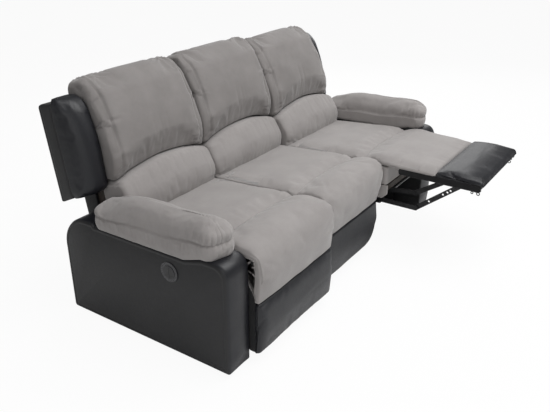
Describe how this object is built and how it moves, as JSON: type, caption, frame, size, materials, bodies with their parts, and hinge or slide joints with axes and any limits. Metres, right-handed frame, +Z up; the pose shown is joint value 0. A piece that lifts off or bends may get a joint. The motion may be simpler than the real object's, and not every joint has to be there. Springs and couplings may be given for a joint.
{
  "type": "reclining sofa",
  "caption": "Wide low sofa with powered end seats, folding footrests on bar linkages, reclining padded backs and boxed arm pillows.",
  "frame": {"origin": "on the floor under the middle of the overall box", "axes": "+X along the width to the right seen from the front, -Y towards the front, +Z up"},
  "size_m": [1.916, 1.3891, 0.9813],
  "materials": {
    "grey_cloth": "matte",
    "black_hide": "satin",
    "black_steel": "satin",
    "rod_steel": "satin",
    "frame_wood": "matte",
    "actuator_black": "matte",
    "glide_black": "matte",
    "switch_ring": "gloss",
    "switch_black": "gloss"
  },
  "bodies": {
    "sofa_base": {"base_frame": "black_steel", "floor_glides": "glide_black", "left_arm": "black_hide", "right_arm": "black_hide", "left_arm_pad": "grey_cloth", "right_arm_pad": "grey_cloth", "switch_bezels": "switch_ring", "middle_seat_frame": "frame_wood", "middle_seat_cushion": "grey_cloth", "middle_front_panel": "black_hide", "middle_back_frame": "frame_wood", "middle_back_panel": "black_hide", "middle_head_pillow": "grey_cloth", "middle_lumbar_pillow": "grey_cloth"},
    "left_rear_swing": {"left_rear_swing_links": "black_steel"},
    "left_front_swing": {"left_front_swing_links": "black_steel"},
    "left_carriage": {"left_seat_plates": "black_steel", "left_seat_side_boards": "grey_cloth", "left_seat_frame": "frame_wood", "left_seat_cushion": "grey_cloth"},
    "left_actuator_body": {"left_actuator": "actuator_black"},
    "left_rod_body": {"left_actuator_rod": "rod_steel"},
    "left_front_bars": {"left_front_links": "black_steel"},
    "left_drive_bars": {"left_drive_links": "black_steel"},
    "left_long_bars": {"left_long_links": "black_steel"},
    "left_upper_bars": {"left_upper_links": "black_steel"},
    "left_footrest": {"left_footrest_board": "frame_wood", "left_footrest_brackets": "black_steel", "left_leg_pad": "grey_cloth", "left_foot_pad": "black_hide"},
    "left_back": {"left_back_frame": "frame_wood", "left_back_panel": "black_hide", "left_head_pillow": "grey_cloth", "left_lumbar_pillow": "grey_cloth", "left_wing": "black_hide"},
    "left_open_switch": {"left_open_button": "switch_black"},
    "left_close_switch": {"left_close_button": "switch_black"},
    "right_rear_swing": {"right_rear_swing_links": "black_steel"},
    "right_front_swing": {"right_front_swing_links": "black_steel"},
    "right_carriage": {"right_seat_plates": "black_steel", "right_seat_side_boards": "grey_cloth", "right_seat_frame": "frame_wood", "right_seat_cushion": "grey_cloth"},
    "right_actuator_body": {"right_actuator": "actuator_black"},
    "right_rod_body": {"right_actuator_rod": "rod_steel"},
    "right_front_bars": {"right_front_links": "black_steel"},
    "right_drive_bars": {"right_drive_links": "black_steel"},
    "right_long_bars": {"right_long_links": "black_steel"},
    "right_upper_bars": {"right_upper_links": "black_steel"},
    "right_footrest": {"right_footrest_board": "frame_wood", "right_footrest_brackets": "black_steel", "right_leg_pad": "grey_cloth", "right_foot_pad": "black_hide"},
    "right_back": {"right_back_frame": "frame_wood", "right_back_panel": "black_hide", "right_head_pillow": "grey_cloth", "right_lumbar_pillow": "grey_cloth", "right_wing": "black_hide"},
    "right_open_switch": {"right_open_button": "switch_black"},
    "right_close_switch": {"right_close_button": "switch_black"}
  },
  "joints": [
    {"name": "left_rear_swing_turn", "type": "hinge", "parent": "sofa_base", "child": "left_rear_swing", "pos_m": [-0.54667, 0.235, 0.15], "axis": [-1, 0, 0], "range_deg": [-19.19, 0]},
    {"name": "left_seat_carriage_turn", "type": "hinge", "parent": "left_rear_swing", "child": "left_carriage", "pos_m": [-0.54667, 0.255, 0.26832], "axis": [-1, 0, 0], "range_deg": [0, 19.19]},
    {"name": "left_front_swing_turn", "type": "hinge", "parent": "sofa_base", "child": "left_front_swing", "pos_m": [-0.54667, -0.045, 0.15], "axis": [-1, 0, 0], "range_deg": [-19.19, 0]},
    {"name": "left_footrest_fold", "type": "hinge", "parent": "left_carriage", "child": "left_footrest", "pos_m": [-0.54667, -0.245, 0.462], "axis": [-1, 0, 0], "range_deg": [0, 90]},
    {"name": "left_front_bars_turn", "type": "hinge", "parent": "left_carriage", "child": "left_front_bars", "pos_m": [-0.54667, -0.125, 0.255], "axis": [-1, 0, 0], "range_deg": [0, 145.4]},
    {"name": "left_drive_bars_turn", "type": "hinge", "parent": "left_carriage", "child": "left_drive_bars", "pos_m": [-0.54667, -0.14, 0.3], "axis": [-1, 0, 0], "range_deg": [0, 121.69]},
    {"name": "left_long_bars_turn", "type": "hinge", "parent": "left_front_bars", "child": "left_long_bars", "pos_m": [-0.54667, 0.05598, 0.12992], "axis": [-1, 0, 0], "range_deg": [-113.98, 0]},
    {"name": "left_upper_bars_turn", "type": "hinge", "parent": "left_drive_bars", "child": "left_upper_bars", "pos_m": [-0.54667, -0.0607, 0.13175], "axis": [-1, 0, 0], "range_deg": [-126.22, 0]},
    {"name": "left_actuator_tilt", "type": "hinge", "parent": "sofa_base", "child": "left_actuator_body", "pos_m": [-0.54667, 0.047, 0.082], "axis": [-1, 0, 0], "range_deg": [-3.39, 0]},
    {"name": "left_rod_slide", "type": "slide", "parent": "left_actuator_body", "child": "left_rod_body", "axis": [0, 0.8245, 0.5658], "range_m": [-0.01885, 0]},
    {"name": "left_back_recline", "type": "hinge", "parent": "left_carriage", "child": "left_back", "pos_m": [-0.54667, 0.385, 0.4], "axis": [-1, 0, 0], "range_deg": [0, 20]},
    {"name": "left_open_press", "type": "slide", "parent": "sofa_base", "child": "left_open_switch", "axis": [1, 0, 0], "range_m": [0, 0.002], "stiffness_N_per_m": 400, "springref_m": -0.0008},
    {"name": "left_close_press", "type": "slide", "parent": "sofa_base", "child": "left_close_switch", "axis": [1, 0, 0], "range_m": [0, 0.002], "stiffness_N_per_m": 400, "springref_m": -0.0008},
    {"name": "right_rear_swing_turn", "type": "hinge", "parent": "sofa_base", "child": "right_rear_swing", "pos_m": [0.54667, 0.235, 0.15], "axis": [-1, 0, 0], "range_deg": [0, 19.19]},
    {"name": "right_seat_carriage_turn", "type": "hinge", "parent": "right_rear_swing", "child": "right_carriage", "pos_m": [0.54667, 0.215, 0.26832], "axis": [-1, 0, 0], "range_deg": [-19.19, 0]},
    {"name": "right_front_swing_turn", "type": "hinge", "parent": "sofa_base", "child": "right_front_swing", "pos_m": [0.54667, -0.045, 0.15], "axis": [-1, 0, 0], "range_deg": [0, 19.19]},
    {"name": "right_footrest_fold", "type": "hinge", "parent": "right_carriage", "child": "right_footrest", "pos_m": [0.54667, -0.285, 0.462], "axis": [-1, 0, 0], "range_deg": [-90, 0]},
    {"name": "right_front_bars_turn", "type": "hinge", "parent": "right_carriage", "child": "right_front_bars", "pos_m": [0.54667, -0.165, 0.255], "axis": [-1, 0, 0], "range_deg": [-145.4, 0]},
    {"name": "right_drive_bars_turn", "type": "hinge", "parent": "right_carriage", "child": "right_drive_bars", "pos_m": [0.54667, -0.18, 0.3], "axis": [-1, 0, 0], "range_deg": [-121.69, 0]},
    {"name": "right_long_bars_turn", "type": "hinge", "parent": "right_front_bars", "child": "right_long_bars", "pos_m": [0.54667, -0.385, 0.2552], "axis": [-1, 0, 0], "range_deg": [0, 113.98]},
    {"name": "right_upper_bars_turn", "type": "hinge", "parent": "right_drive_bars", "child": "right_upper_bars", "pos_m": [0.54667, -0.36482, 0.32092], "axis": [-1, 0, 0], "range_deg": [0, 126.22]},
    {"name": "right_actuator_tilt", "type": "hinge", "parent": "sofa_base", "child": "right_actuator_body", "pos_m": [0.54667, 0.047, 0.082], "axis": [-1, 0, 0], "range_deg": [0, 3.39]},
    {"name": "right_rod_slide", "type": "slide", "parent": "right_actuator_body", "child": "right_rod_body", "axis": [0, 0.7896, 0.6136], "range_m": [0, 0.01885]},
    {"name": "right_back_recline", "type": "hinge", "parent": "right_carriage", "child": "right_back", "pos_m": [0.54667, 0.345, 0.4], "axis": [-1, 0, 0], "range_deg": [-5, 15]},
    {"name": "right_open_press", "type": "slide", "parent": "sofa_base", "child": "right_open_switch", "axis": [-1, 0, 0], "range_m": [0, 0.002], "stiffness_N_per_m": 400, "springref_m": -0.0008},
    {"name": "right_close_press", "type": "slide", "parent": "sofa_base", "child": "right_close_switch", "axis": [-1, 0, 0], "range_m": [0, 0.002], "stiffness_N_per_m": 400, "springref_m": -0.0008}
  ],
  "couplings": [
    {"joint": "left_rear_swing_turn", "follows": "left_footrest_fold", "ratio": -0.2132},
    {"joint": "left_seat_carriage_turn", "follows": "left_footrest_fold", "ratio": 0.2132},
    {"joint": "left_front_swing_turn", "follows": "left_footrest_fold", "ratio": -0.2132},
    {"joint": "left_front_bars_turn", "follows": "left_footrest_fold", "ratio": 1.6156},
    {"joint": "left_drive_bars_turn", "follows": "left_footrest_fold", "ratio": 1.3521},
    {"joint": "left_long_bars_turn", "follows": "left_footrest_fold", "ratio": -1.2664},
    {"joint": "left_upper_bars_turn", "follows": "left_footrest_fold", "ratio": -1.4024},
    {"joint": "left_actuator_tilt", "follows": "left_footrest_fold", "ratio": -0.03766},
    {"joint": "left_rod_slide", "follows": "left_footrest_fold", "m_per_rad": -0.011999},
    {"joint": "right_rear_swing_turn", "follows": "right_footrest_fold", "ratio": -0.2132},
    {"joint": "right_seat_carriage_turn", "follows": "right_footrest_fold", "ratio": 0.2132},
    {"joint": "right_front_swing_turn", "follows": "right_footrest_fold", "ratio": -0.2132},
    {"joint": "right_front_bars_turn", "follows": "right_footrest_fold", "ratio": 1.6156},
    {"joint": "right_drive_bars_turn", "follows": "right_footrest_fold", "ratio": 1.3521},
    {"joint": "right_long_bars_turn", "follows": "right_footrest_fold", "ratio": -1.2664},
    {"joint": "right_upper_bars_turn", "follows": "right_footrest_fold", "ratio": -1.4024},
    {"joint": "right_actuator_tilt", "follows": "right_footrest_fold", "ratio": -0.03766},
    {"joint": "right_rod_slide", "follows": "right_footrest_fold", "m_per_rad": -0.011999}
  ]
}
